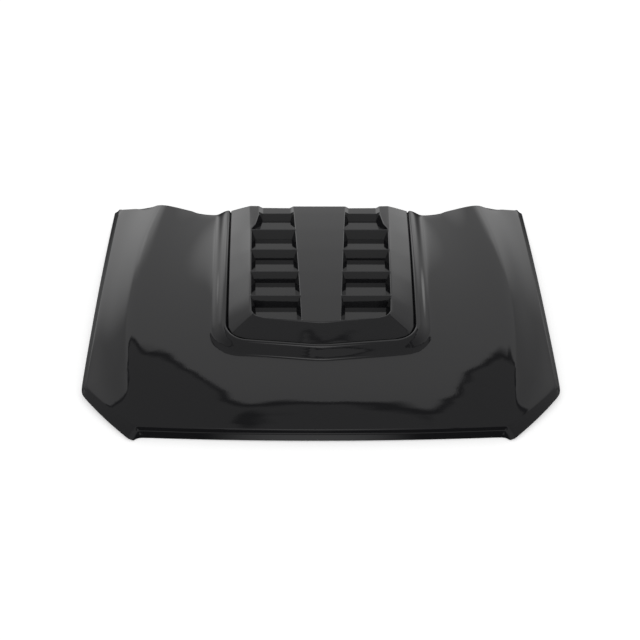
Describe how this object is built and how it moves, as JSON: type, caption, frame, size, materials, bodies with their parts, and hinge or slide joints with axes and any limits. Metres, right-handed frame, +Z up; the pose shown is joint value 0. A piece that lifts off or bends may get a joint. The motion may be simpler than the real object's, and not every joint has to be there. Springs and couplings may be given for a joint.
{
  "type": "bonnet with louvred scoop",
  "caption": "Car bonnet with a raised collar that holds a louvred scoop insert, on a stamped frame with hinge seats and a striker.",
  "frame": {"origin": "centre of the footprint, on the floor plane through the lowest points of the hem", "axes": "+Z up, -Y towards the front edge, +Y towards the rear edge with the louvres' open end, +X to the right seen from the front"},
  "size_m": [1.48, 1.095, 0.1389],
  "materials": {
    "gloss_paint": "gloss",
    "insert_paint": "gloss",
    "frame_coat": "satin",
    "zinc": "satin",
    "rubber": "matte",
    "foam": "matte",
    "mastic": "matte"
  },
  "bodies": {
    "root": {"outer_panel": "gloss_paint", "inner_panel": "frame_coat", "rear_cross_member": "frame_coat", "scoop_insert": "insert_paint", "insert_gasket": "foam", "insert_studs": "zinc", "insert_washers": "zinc", "insert_nuts": "zinc", "adhesive_pads": "mastic", "hinge_plate_left": "zinc", "hinge_plate_right": "zinc", "hinge_weld_nuts": "zinc", "striker_plate": "zinc", "striker_loop": "zinc", "striker_bolts": "zinc", "rubber_stops": "rubber"}
  },
  "joints": []
}
